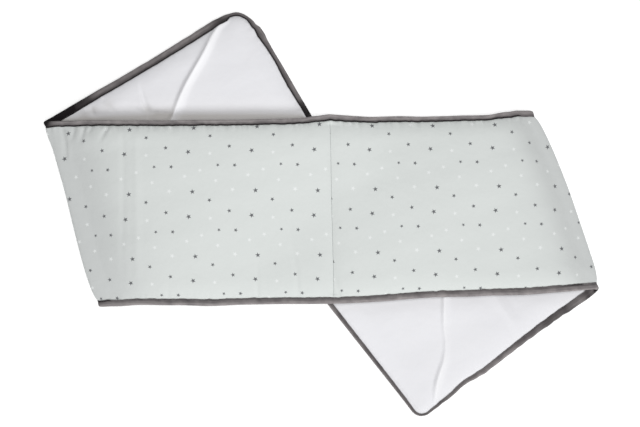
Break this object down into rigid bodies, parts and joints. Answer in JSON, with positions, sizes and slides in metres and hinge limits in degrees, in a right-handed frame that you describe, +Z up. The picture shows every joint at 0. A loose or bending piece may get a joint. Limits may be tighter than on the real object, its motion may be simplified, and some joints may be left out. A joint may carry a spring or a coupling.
{
  "type": "crib rail cover",
  "caption": "Long padded printed cloth strip with a white lining and grey bound edges, lying flat with both ends folded under at a slant.",
  "frame": {"origin": "on the table, under the middle of the whole folded cover", "axes": "+X along the strip, +Y across it, +Z up, out of the printed side"},
  "size_m": [0.993, 0.732, 0.0367],
  "materials": {
    "printed_cotton": "fine plain-weave cotton, pale grey-green with small scattered dark and white stars, matt",
    "white_cotton": "fine plain-weave white cotton, matt",
    "grey_bias_tape": "dark grey cotton bias tape, edge-stitched, matt"
  },
  "bodies": {
    "root": {"face_left": "printed_cotton", "face_right": "printed_cotton", "lining": "white_cotton", "binding": "grey_bias_tape"}
  },
  "joints": []
}
